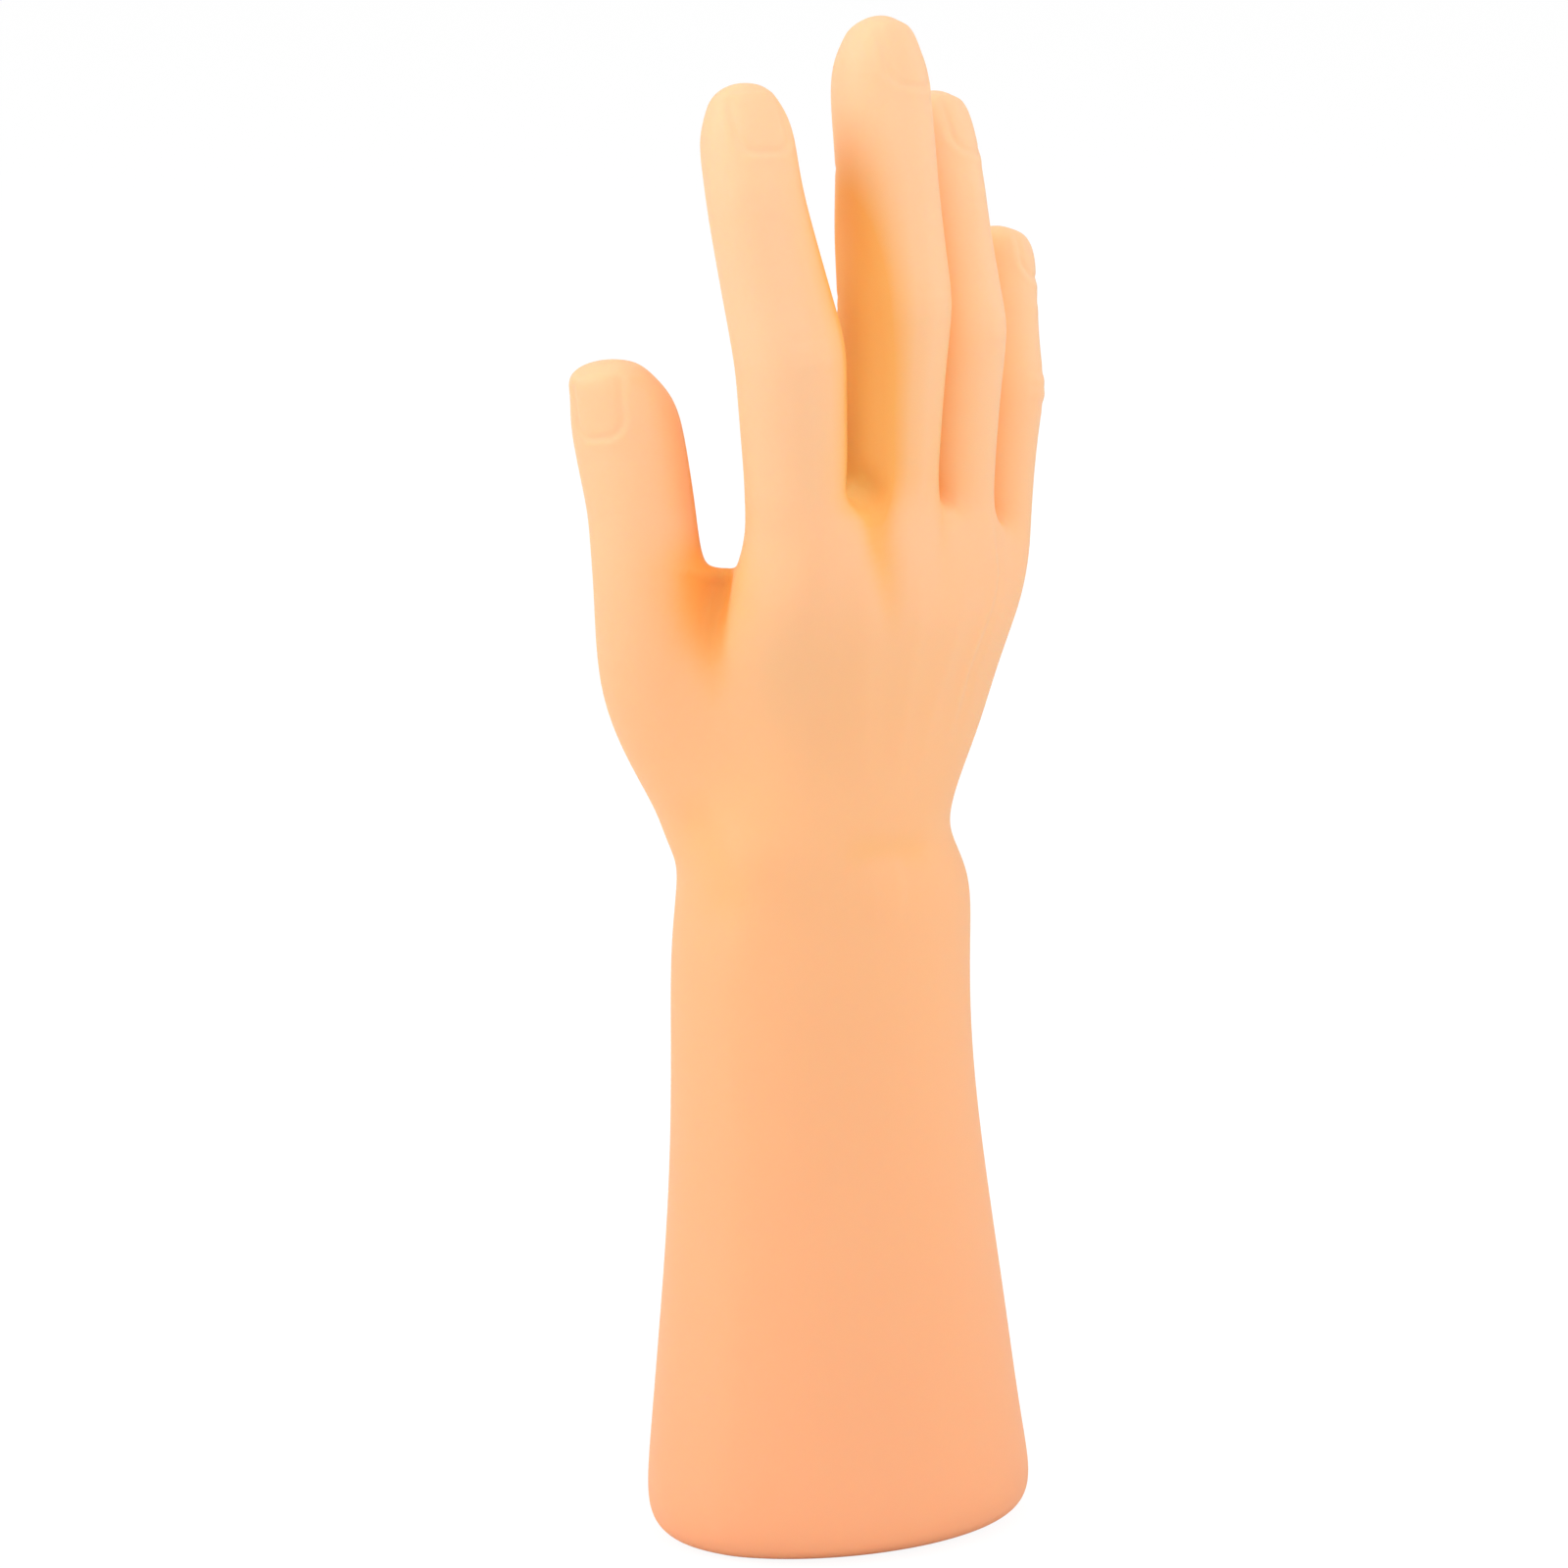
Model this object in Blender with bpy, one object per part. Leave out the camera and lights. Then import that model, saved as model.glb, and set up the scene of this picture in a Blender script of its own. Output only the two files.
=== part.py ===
# Hand ring display: a relaxed right hand in soft vinyl, standing upright on the foot of its forearm.
# The skin is one hollow casting and an oval plug closes the mouth that it was drawn from the mould by.
# Everything is in metres. X runs toward the little finger, Y toward the palm and Z up.

import math
from typing import NamedTuple

import bmesh
import bpy
from mathutils import Matrix, Vector

MM = 0.001

# The casting
WALL = 2.8 * MM
LIP_THICKNESS = 2.0 * MM
FINGER_WALL = 2.9 * MM
TIP_WALL = 4.5 * MM
BORE_END_ROOM = 3.0 * MM
HOLLOW_TOP = 161.0 * MM
HOLLOW_SHOULDER_WALL = 4.4 * MM
HOLLOW_TOP_WALL = 6.0 * MM

# The foot and the mouth in it
FOOT_HALF_LENGTH = 34.4 * MM
FOOT_HALF_WIDTH = 27.1 * MM
FOOT_SHIFT = 0.5 * MM
REBATE_HALF_LENGTH = 27.0 * MM
REBATE_HALF_WIDTH = 17.8 * MM
REBATE_DEPTH = 1.6 * MM
REBATE_LEDGE = 3.0 * MM
CORNER_ROOM = 3.4 * MM

# The loops of the underside, as shares of the way in from its edge to the rebate, and the heights
# and insets of the rounded edge above them
UNDERSIDE_SHARES = (1.60, 0.92, 0.50)
FOOT_EDGE = ((2.2 * MM, 0.5 * MM), (7.0 * MM, -0.5 * MM))

# The plug
FIT = 0.3 * MM
BEAD_GRIP = 1.2 * MM
BEAD_HEIGHT = 1.5 * MM
PLUG_RIM = 4.2 * MM
PLUG_FLOOR = 2.4 * MM
VENT_DIAMETER = 2.5 * MM
VENT_OFFSET = 12.0 * MM
PRY_SLOT_WIDTH = 8.0 * MM
PRY_SLOT_REACH = 1.5 * MM

RING_SIDES = 8
ROUND_SIDES = 32
FINGER_COLUMNS = 25
BACK_COLUMNS = 13
THUMB_COLUMNS = 7
PLUG_SIDES = 48


class Section(NamedTuple):
    """One level of the forearm or palm: an oval turned about Z, which may fall toward the little finger."""

    height: float
    x: float
    y: float
    half_length: float
    half_width: float
    turn: float = 0.0
    fall: float = 0.0


class Digit(NamedTuple):
    """A finger or thumb from its web to its tip. Angles are in degrees, lengths in millimetres."""

    root: tuple
    bones: tuple
    leans: tuple
    curls: tuple
    roll: float
    side: float
    back: float
    pad: float


# The forearm flares toward the foot and is slimmest above the middle, in millimetres
FOREARM = (
    Section(16, -0.3, 0, 33.3, 26.6),
    Section(36, -0.9, 0, 31.0, 24.7),
    Section(58, -2.0, 0, 28.2, 22.5),
    Section(79, -3.5, 0, 26.6, 21.3),
    Section(95, -3.8, 0, 26.7, 21.2),
    Section(103, -3.1, 0, 26.9, 20.9, 2),
    Section(108, -3.2, 0, 26.8, 20.5, 5),
    Section(112, -4.1, 0.2, 26.2, 20.0, 9),
)

# The palm without its thumb, in millimetres
PALM = (
    Section(115.5, -4.8, 0.5, 25.7, 19.6, 12),
    Section(119.5, -4.1, 0.2, 25.4, 19.2, 11),
    Section(125, -1.7, -0.4, 25.4, 18.4, 10),
    Section(132, 1.0, -1.8, 26.2, 17.2, 10, 0.01),
    Section(140, 1.4, -4.0, 28.0, 16.0, 10, 0.03),
    Section(148, 1.7, -6.5, 30.4, 15.0, 12, 0.06),
    Section(155.5, 1.4, -9.0, 32.7, 14.0, 13, 0.10),
)

# The ball of the thumb, in millimetres
THUMB_BALL = (
    Section(115.5, -8.2, 1.4, 22.0, 19.4),
    Section(119.5, -11.4, 3.6, 18.6, 18.0),
    Section(125, -16.2, 6.6, 15.8, 16.4),
    Section(132, -21.6, 9.0, 13.8, 14.2),
    Section(140, -26.6, 9.6, 12.4, 12.6),
    Section(149, -30.2, 9.0, 10.9, 11.0),
    Section(158, -32.4, 8.6, 10.0, 10.0),
)

# Where the finger columns and the thumb columns start and end round each of those ovals, in degrees
FOREARM_ARCS = (207, 450, 111, 196)
PALM_ARCS = (
    (206, 450, 109, 196),
    (205, 451, 103, 197),
    (203, 454, 91, 202),
    (200, 463, 68, 210),
    (197, 484, 36, 220),
    (190, 500, 2, 232),
    (187, 508, -25, 253),
)

# How far the palm's last column draws back from the web, in degrees, and the share of that which
# it and the columns before it take
PALM_LEADS = (0, 0, 0, 4, 9, 15, 20)
LEAD_SHARES = (1.0, 0.75, 0.5, 0.25)

# The swell of the muscle beside the index bone, on the border that faces the thumb, in millimetres
BORDERS = (None, None, None, None, (-26.0, -10.2), (-30.5, -8.8), (-31.6, -9.3))


# The palm side and the back of the web: the place on the line between palm and thumb, and how far
# out from that line, in millimetres
PALM_WEBS = (
    (0.50, 1.5),
    (0.50, 1.5),
    (0.50, 1.2),
    (0.50, 0.6),
    (0.50, -0.4),
    (0.50, -0.8),
    (0.50, 0.4),
)
BACK_WEBS = (
    (0.50, 1.5),
    (0.50, 1.4),
    (0.50, 0.5),
    (0.52, -1.6),
    (0.55, -3.4),
    (0.60, -6.5),
    (0.63, -9.9),
)
WEB_RISES = (10.5, 8.6, 5.0)
THUMB_WEB_TURN = -66.0

INDEX = Digit(
    root=(-22.0, -16.0, 173.4),
    bones=(23.1, 24.4, 20.2),
    leans=(-5.2, -8.2, 5.0),
    curls=(-1.7, 10.4, 16.9),
    roll=-18,
    side=9.1,
    back=9.0,
    pad=9.0,
)
MIDDLE = Digit(
    root=(-3.5, -15.3, 174.3),
    bones=(28.7, 21.7, 25.6),
    leans=(1.0, 2.6, 6.8),
    curls=(-3.5, 7.9, 10.7),
    roll=5,
    side=9.3,
    back=9.7,
    pad=9.5,
)
RING = Digit(
    root=(13.2, -10.8, 169.6),
    bones=(27.7, 18.9, 21.2),
    leans=(2.0, 1.2, 8.4),
    curls=(-2.9, 10.7, 15.9),
    roll=18,
    side=8.6,
    back=8.6,
    pad=8.8,
)
LITTLE = Digit(
    root=(28.6, -4.0, 164.2),
    bones=(21.7, 13.6, 13.3),
    leans=(3.6, 7.2, 13.7),
    curls=(-2.4, 8.6, 13.7),
    roll=30,
    side=7.7,
    back=7.6,
    pad=7.6,
)
THUMB = Digit(
    root=(-33.0, 8.5, 161.0),
    bones=(9.5, 24.9),
    leans=(-2.3, -9.9),
    curls=(3.6, 6.0),
    roll=-66,
    side=9.3,
    back=8.4,
    pad=9.0,
)
FINGERS = (INDEX, MIDDLE, RING, LITTLE)


class Girth(NamedTuple):
    """How thick a digit is at one place and how far off the bone, as shares of its half sizes."""

    bone: int
    along: float
    side: float
    back: float
    pad: float
    off: float = 0.0


FINGER_GIRTHS = (
    Girth(0, 0.16, 0.93, 0.96, 1.02),
    Girth(0, 0.48, 0.96, 0.95, 1.04),
    Girth(0, 0.80, 0.99, 0.99, 0.99),
    Girth(1, 0.00, 1.03, 1.05, 0.94),
    Girth(1, 0.22, 0.99, 0.98, 0.97),
    Girth(1, 0.54, 0.94, 0.92, 1.02),
    Girth(1, 0.85, 0.90, 0.88, 0.94),
    Girth(2, 0.04, 0.88, 0.87, 0.90),
    Girth(2, 0.26, 0.86, 0.83, 0.98),
    Girth(2, 0.50, 0.86, 0.75, 1.03),
    Girth(2, 0.72, 0.80, 0.64, 0.94),
    Girth(2, 0.88, 0.62, 0.50, 0.70),
)
THUMB_GIRTHS = (
    Girth(0, 0.45, 0.98, 1.00, 1.00),
    Girth(0, 0.95, 0.97, 1.00, 0.96),
    Girth(1, 0.20, 0.98, 0.98, 1.02),
    Girth(1, 0.42, 1.00, 0.92, 1.08),
    Girth(1, 0.62, 0.98, 0.86, 1.02),
    Girth(1, 0.80, 0.87, 0.86, 0.72, -0.03),
    Girth(1, 0.93, 0.70, 0.80, 0.38, -0.19),
)
TIP_PLACE = 1.01
KNUCKLE_SLOPE = 2.0 * MM
KNUCKLE_DROP = 18.0 * MM
KNUCKLE_STEPS = (0.28, 0.54, 0.78)
FINGER_WEB_RISE = 0.8 * MM


def clear_scene():
    for item in list(bpy.data.objects):
        bpy.data.objects.remove(item, do_unlink=True)


def blend(first, second, share):
    return first + (second - first) * share


def turned(angle):
    radians = math.radians(angle)
    return Vector((math.cos(radians), math.sin(radians), 0))


# Digits


def bone_direction(digit, bone):
    lean = math.tan(math.radians(digit.leans[bone]))
    curl = math.tan(math.radians(digit.curls[bone]))
    return Vector((lean, curl, 1)).normalized()


def digit_joints(digit):
    """The web, each joint and the tip, in metres."""
    places = [Vector(digit.root) * MM]
    for bone, length in enumerate(digit.bones):
        places.append(places[-1] + bone_direction(digit, bone) * length * MM)
    return places


def digit_place(digit, bone, along):
    """The centre and the direction at a share of one bone."""
    joints = digit_joints(digit)
    centre = joints[bone] + (joints[bone + 1] - joints[bone]) * along
    here = bone_direction(digit, bone)
    if along < 0.3 and bone > 0:
        here = blend(bone_direction(digit, bone - 1), here, 0.5 + along / 0.6)
    if along > 0.7 and bone < len(digit.bones) - 1:
        here = blend(here, bone_direction(digit, bone + 1), (along - 0.7) / 0.6)
    return centre, here.normalized()


def digit_frame(digit, direction):
    """The way toward the nail and the way toward the little finger, both square to the digit."""
    nail = turned(digit.roll - 90)
    nail = (nail - direction * nail.dot(direction)).normalized()
    across = direction.cross(nail)
    if across.dot(turned(digit.roll)) < 0:
        across = -across
    return nail, across


def ring_points(centre, nail, across, side, back, pad):
    """Eight points, anticlockwise from above, from the near corner of the nail side."""
    slant = math.sqrt(0.5)
    return [
        centre - across * side * slant + nail * back * slant,
        centre + nail * back,
        centre + across * side * slant + nail * back * slant,
        centre + across * side,
        centre + across * side * slant - nail * pad * slant,
        centre - nail * pad,
        centre - across * side * slant - nail * pad * slant,
        centre - across * side,
    ]


def cage_size(size):
    """The cage radius that the smooth surface rounds in to the size given."""
    return size * MM / 0.915


def girth_ring(digit, girth):
    centre, direction = digit_place(digit, girth.bone, girth.along)
    nail, across = digit_frame(digit, direction)
    return ring_points(
        centre + across * digit.side * girth.off * MM,
        nail,
        across,
        cage_size(digit.side * girth.side),
        cage_size(digit.back * girth.back),
        cage_size(digit.pad * girth.pad),
    )


def root_ring(digit, drop=0.0):
    """The ring where a finger leaves the web, or its copy lower down in the palm."""
    centre = Vector(digit.root) * MM
    down = Vector((centre.x * 0.35, centre.y * 0.20 - 0.003, 0.06)).normalized()
    centre = centre - down * drop
    nail, across = digit_frame(digit, Vector((0, 0, 1)))
    ring = ring_points(
        centre,
        nail,
        across,
        cage_size(digit.side * 0.93),
        cage_size(digit.back * 0.97),
        cage_size(digit.pad * 1.10),
    )
    for corner in (0, 2):
        ring[corner].z -= KNUCKLE_SLOPE
    return ring


# Forearm, palm and ball of the thumb


def oval_point(section, angle):
    long_way = turned(section.turn)
    wide_way = turned(section.turn + 90)
    radians = math.radians(angle)
    place = (
        Vector((section.x, section.y, section.height))
        + long_way * section.half_length * math.cos(radians)
        + wide_way * section.half_width * math.sin(radians)
    )
    place.z -= section.fall * section.half_length * (1 + math.cos(radians))
    return place * MM


def arc_points(section, first, last, count):
    step = (last - first) / (count - 1)
    return [oval_point(section, first + step * place) for place in range(count)]


def finger_columns(palm, arc, border, lead):
    """25 columns that run up into the fingers. The first stands on the border toward the thumb."""
    points = arc_points(palm, arc[0], arc[1], FINGER_COLUMNS)
    step = (arc[1] - arc[0]) / (FINGER_COLUMNS - 1)
    for back, share in enumerate(LEAD_SHARES):
        points[-1 - back] = oval_point(palm, arc[1] - step * back - lead * share)
    if border:
        points[0].x, points[0].y = border[0] * MM, border[1] * MM
    return points


def web_column(start, end, place, swell):
    """A point between two columns, pushed out from a place on the line that joins them."""
    line = end - start
    outward = Vector((line.y, -line.x, 0)).normalized()
    return start + line * place + outward * swell * MM


def trunk_loop(palm, ball, arcs, border, lead, palm_web, back_web):
    """25 columns that run up into the fingers, one of web, 7 of the thumb and one of web."""
    fingers = finger_columns(palm, arcs, border, lead)
    thumb = arc_points(ball, arcs[2], arcs[3], THUMB_COLUMNS)
    front = web_column(fingers[-1], thumb[0], *palm_web)
    behind = web_column(thumb[-1], fingers[0], *back_web)
    return fingers + [front] + thumb + [behind]


def forearm_loop(section):
    return trunk_loop(section, section, FOREARM_ARCS, None, 0, (0.5, 0.1), (0.5, 0.1))


def palm_loops():
    levels = zip(PALM, THUMB_BALL, PALM_ARCS, BORDERS, PALM_LEADS, PALM_WEBS, BACK_WEBS)
    return [trunk_loop(*level) for level in levels]


def finger_loop(drop):
    """The 26 points round all four finger roots, with the thumb side last."""
    rings = [root_ring(digit, drop) for digit in FINGERS]
    nails = [ring[step] for ring in rings for step in (0, 1, 2)]
    pads = [ring[step] for ring in reversed(rings) for step in (4, 5, 6)]
    return nails + [rings[-1][3]] + pads + [rings[0][7]]


def knuckle_columns(palm):
    """The finger columns round one palm section, with the one that faces the thumb last."""
    points = finger_columns(palm, PALM_ARCS[-1], BORDERS[-1], PALM_LEADS[-1])
    return points + [(points[0] + points[-1]) / 2]


def web_side():
    """The point of the palm loop that faces the thumb, at the top of the web."""
    return knuckle_columns(PALM[-1])[-1] + Vector((0, 0, WEB_RISES[0] * MM))


def knuckle_loops():
    """The loops between the thumb's web and the fingers' webs."""
    below = knuckle_columns(PALM[-2])
    low = knuckle_columns(PALM[-1])
    low[-1] = web_side()
    top = finger_loop(0.0)
    loops = []
    for share in KNUCKLE_STEPS:
        loop = []
        across = finger_loop((1 - share) * KNUCKLE_DROP)
        for column, bottom in enumerate(low):
            rise = (top[column].z - bottom.z) * share
            lead = (bottom - below[column]) * (rise / (bottom.z - below[column].z))
            palm = bottom + lead * min(1.0, max(0.2, (BACK_COLUMNS + 2 - column) / 4))
            point = blend(palm, across[column], share)
            point.z = bottom.z + rise
            loop.append(point)
        loops.append(loop)
    return loops + [top]


# Stitching the cage


def add_loop(mesh, points):
    return [mesh.verts.new(point) for point in points]


def stitch(mesh, lower, upper):
    count = len(lower)
    for step in range(count):
        following = (step + 1) % count
        mesh.faces.new((lower[step], lower[following], upper[following], upper[step]))


def cap_tip(mesh, ring, place):
    """Closes an eight-point ring with four faces round one point."""
    tip = mesh.verts.new(place)
    for corner in (0, 2, 4, 6):
        mesh.faces.new((ring[corner - 1], ring[corner], ring[(corner + 1) % RING_SIDES], tip))


def grow_digit(mesh, root, digit, girths):
    ring = root
    for girth in girths:
        following = add_loop(mesh, girth_ring(digit, girth))
        stitch(mesh, ring, following)
        ring = following
    centre, direction = digit_place(digit, len(digit.bones) - 1, TIP_PLACE)
    across = digit_frame(digit, direction)[1]
    cap_tip(mesh, ring, centre + across * digit.side * girths[-1].off * MM)


def foot_insets():
    """How far in from the foot's edge its loops stand, with their heights, from the middle out."""
    ledge_length = FOOT_HALF_LENGTH - REBATE_HALF_LENGTH
    ledge_width = FOOT_HALF_WIDTH - REBATE_HALF_WIDTH
    insets = [(0.0, ledge_length * share, ledge_width * share) for share in UNDERSIDE_SHARES]
    return insets + [(height, inset, inset) for height, inset in FOOT_EDGE]


def add_foot(mesh):
    """The flat underside and the rounded edge."""
    loops = []
    for height, inset_length, inset_width in foot_insets():
        ring = Section(
            height / MM,
            FOOT_SHIFT / MM,
            0,
            (FOOT_HALF_LENGTH - inset_length) / MM,
            (FOOT_HALF_WIDTH - inset_width) / MM,
        )
        loops.append(add_loop(mesh, forearm_loop(ring)))
    mesh.faces.new(list(reversed(loops[0])))
    for lower, upper in zip(loops, loops[1:]):
        stitch(mesh, lower, upper)
    return loops[-1]


def add_trunk(mesh, foot):
    """Forearm and lower palm. It returns the loop at the web of the thumb."""
    last = foot
    for points in [forearm_loop(section) for section in FOREARM] + palm_loops():
        following = add_loop(mesh, points)
        stitch(mesh, last, following)
        last = following
    return last


def add_thumb_web(mesh, loop):
    """Parts the trunk loop into a palm loop and a thumb ring, with the web between them."""
    fingers, thumb = loop[:FINGER_COLUMNS], loop[FINGER_COLUMNS + 1 : -1]
    palm_web, back_web = loop[FINGER_COLUMNS], loop[-1]
    side = web_side()
    inner = oval_point(THUMB_BALL[-1], THUMB_WEB_TURN) + Vector((0, 0, WEB_RISES[2] * MM))
    middle = (palm_web.co + back_web.co) / 2
    middle.z = PALM[-1].height * MM + WEB_RISES[1] * MM
    side, middle, inner = (mesh.verts.new(place) for place in (side, middle, inner))
    mesh.faces.new((thumb[-1], back_web, middle, inner))
    mesh.faces.new((back_web, fingers[0], side, middle))
    mesh.faces.new((inner, middle, palm_web, thumb[0]))
    mesh.faces.new((middle, side, fingers[-1], palm_web))
    return fingers + [side], [inner] + thumb


def thumb_ring_order(ring):
    """The thumb's ring again, from the near corner of its nail side."""
    return ring[-3:] + ring[:-3]


def add_finger_webs(mesh, loop):
    """Parts the top loop of the palm into four finger rings with a web between neighbours."""
    roots = [root_ring(digit) for digit in FINGERS]
    inner = {}
    for left in range(3):
        near, far = roots[left][3], roots[left + 1][7]
        middle = (near + far) / 2 + Vector((0, 0, FINGER_WEB_RISE))
        spread = (roots[left + 1][0] - roots[left][2]) * 0.30
        inner[left] = (
            mesh.verts.new(middle - spread),
            mesh.verts.new(middle + spread),
        )
    rings = []
    for finger in range(4):
        nails = loop[3 * finger : 3 * finger + 3]
        pads = loop[13 + 3 * (3 - finger) : 16 + 3 * (3 - finger)]
        right = loop[12] if finger == 3 else inner[finger][0]
        left = loop[25] if finger == 0 else inner[finger - 1][1]
        rings.append(nails + [right] + pads + [left])
    for finger in range(3):
        a, b = rings[finger], rings[finger + 1]
        mesh.faces.new((a[2], b[0], b[7], a[3]))
        mesh.faces.new((a[3], b[7], b[6], a[4]))
    return rings


def hand_cage():
    mesh = bmesh.new()
    web_loop = add_trunk(mesh, add_foot(mesh))
    palm_loop, thumb_root = add_thumb_web(mesh, web_loop)
    for points in knuckle_loops():
        following = add_loop(mesh, points)
        stitch(mesh, palm_loop, following)
        palm_loop = following
    for root, digit in zip(add_finger_webs(mesh, palm_loop), FINGERS):
        grow_digit(mesh, root, digit, FINGER_GIRTHS)
    grow_digit(mesh, thumb_ring_order(thumb_root), THUMB, THUMB_GIRTHS)
    return mesh


# Shared steps


def link_mesh(name, mesh):
    data = bpy.data.meshes.new(name)
    mesh.to_mesh(data)
    mesh.free()
    item = bpy.data.objects.new(name, data)
    bpy.context.scene.collection.objects.link(item)
    return item


def loft(loops):
    """A closed body through a row of loops with equal counts, flat at both ends."""
    mesh = bmesh.new()
    rings = [add_loop(mesh, points) for points in loops]
    mesh.faces.new(list(reversed(rings[0])))
    for lower, upper in zip(rings, rings[1:]):
        stitch(mesh, lower, upper)
    mesh.faces.new(rings[-1])
    bmesh.ops.recalc_face_normals(mesh, faces=mesh.faces)
    return mesh


def as_cutter(item):
    item.hide_render = True
    item.display_type = "WIRE"
    return item


def cut(item, cutter):
    modifier = item.modifiers.new("Cut " + cutter.name, "BOOLEAN")
    modifier.operation = "DIFFERENCE"
    modifier.solver = "EXACT"
    modifier.object = cutter


def shade_round(item, angle):
    item.data.shade_smooth()
    item.data.set_sharp_from_angle(angle=math.radians(angle))


def vinyl(name, colour, roughness):
    """Soft PVC: matte, not metallic."""
    material = bpy.data.materials.new(name)
    material.use_nodes = True
    shader = material.node_tree.nodes["Principled BSDF"]
    shader.inputs["Base Color"].default_value = (*colour, 1)
    shader.inputs["Roughness"].default_value = roughness
    shader.inputs["Metallic"].default_value = 0
    material.diffuse_color = (*colour, 1)
    return material


# Hand skin


def oval_loop(section, sides):
    return [oval_point(section, 360 / sides * step) for step in range(sides)]


def flat_oval(height, half_length, half_width, sides=ROUND_SIDES):
    shape = Section(height / MM, FOOT_SHIFT / MM, 0, half_length / MM, half_width / MM)
    return oval_loop(shape, sides)


def inner_section(section, wall):
    thinner = wall / MM
    return section._replace(
        half_length=section.half_length - thinner,
        half_width=section.half_width - thinner,
    )


def cavity_loops():
    """Rebate, mouth, then the hollow up to the knuckles."""
    mouth_length = REBATE_HALF_LENGTH - REBATE_LEDGE
    mouth_width = REBATE_HALF_WIDTH - REBATE_LEDGE
    ceiling = REBATE_DEPTH + LIP_THICKNESS
    inside_length = FOOT_HALF_LENGTH - WALL
    inside_width = FOOT_HALF_WIDTH - WALL
    loops = [
        flat_oval(-2 * MM, REBATE_HALF_LENGTH, REBATE_HALF_WIDTH),
        flat_oval(REBATE_DEPTH, REBATE_HALF_LENGTH, REBATE_HALF_WIDTH),
        flat_oval(REBATE_DEPTH, mouth_length, mouth_width),
        flat_oval(ceiling, mouth_length, mouth_width),
        flat_oval(ceiling, inside_length - CORNER_ROOM, inside_width - CORNER_ROOM),
        flat_oval(ceiling + CORNER_ROOM, inside_length - 0.3 * MM, inside_width - 0.3 * MM),
    ]
    sections = [inner_section(section, WALL) for section in FOREARM + PALM[:-1]]
    sections.append(inner_section(PALM[-1], HOLLOW_SHOULDER_WALL))
    sections.append(inner_section(PALM[-1]._replace(height=HOLLOW_TOP / MM), HOLLOW_TOP_WALL))
    for section in sections:
        loops.append(oval_loop(section, ROUND_SIDES))
    return loops


def bore_loops(digit, start):
    """A tapering tube inside one digit, from a start inside the palm's hollow."""
    sides = 12
    places = [(Vector(start) * MM, 0.72)]
    for bone in range(len(digit.bones)):
        for along in (0.08, 0.5):
            centre, _ = digit_place(digit, bone, along)
            places.append((centre, 0.90 - 0.05 * bone))
    joints = digit_joints(digit)
    last = joints[-1] - bone_direction(digit, len(digit.bones) - 1) * (TIP_WALL + BORE_END_ROOM)
    places.append((last, 0.62))
    loops = []
    for step, (centre, share) in enumerate(places):
        bone = max(0, min(len(digit.bones) - 1, (step - 1) // 2))
        nail, across = digit_frame(digit, bone_direction(digit, bone))
        side = (digit.side * MM - FINGER_WALL) * share
        deep = (min(digit.back, digit.pad) * MM - FINGER_WALL) * share
        ring = []
        for corner in range(sides):
            radians = 2 * math.pi * corner / sides
            ring.append(centre + across * side * math.cos(radians) + nail * deep * math.sin(radians))
        loops.append(ring)
    return loops


BORE_STARTS = (
    ("index", INDEX, (-13, -9.5, 151)),
    ("middle", MIDDLE, (-2, -9.5, 151)),
    ("ring", RING, (8, -7.5, 150)),
    ("little", LITTLE, (19, -3.5, 148)),
    ("thumb", THUMB, (-17, 5, 127)),
)


def make_skin():
    skin = link_mesh("hand_skin", hand_cage())
    smooth = skin.modifiers.new("Soft surface", "SUBSURF")
    smooth.levels = 1
    smooth.render_levels = 1
    cut(skin, as_cutter(link_mesh("hollow_cutter", loft(cavity_loops()))))
    for name, digit, start in BORE_STARTS:
        cut(skin, as_cutter(link_mesh(name + "_bore_cutter", loft(bore_loops(digit, start)))))
    shade_round(skin, 50)
    skin.data.materials.append(vinyl("skin vinyl", (1.0, 0.52, 0.27), 0.55))
    return skin


# Base plug


def plug_loops():
    """From the middle of the underside out, up round the flange, neck and bead, and into the dish."""
    flange_length = REBATE_HALF_LENGTH - FIT
    flange_width = REBATE_HALF_WIDTH - FIT
    neck_length = REBATE_HALF_LENGTH - REBATE_LEDGE - FIT
    neck_width = REBATE_HALF_WIDTH - REBATE_LEDGE - FIT
    flange_top = REBATE_DEPTH - FIT
    bead_start = REBATE_DEPTH + LIP_THICKNESS + FIT
    bead_top = bead_start + BEAD_HEIGHT
    edge = 0.4 * MM
    steps = (
        (0.0, flange_length - edge, flange_width - edge),
        (edge, flange_length, flange_width),
        (flange_top, flange_length, flange_width),
        (flange_top, neck_length, neck_width),
        (bead_start, neck_length, neck_width),
        (bead_start + edge / 2, neck_length + FIT + BEAD_GRIP, neck_width + FIT + BEAD_GRIP),
        (bead_top - 2 * edge, neck_length + FIT + BEAD_GRIP, neck_width + FIT + BEAD_GRIP),
        (bead_top, neck_length - edge, neck_width - edge),
        (bead_top, neck_length - PLUG_RIM, neck_width - PLUG_RIM),
        (PLUG_FLOOR, neck_length - PLUG_RIM - edge, neck_width - PLUG_RIM - edge),
    )
    return [flat_oval(height, a, b, PLUG_SIDES) for height, a, b in steps]


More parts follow.
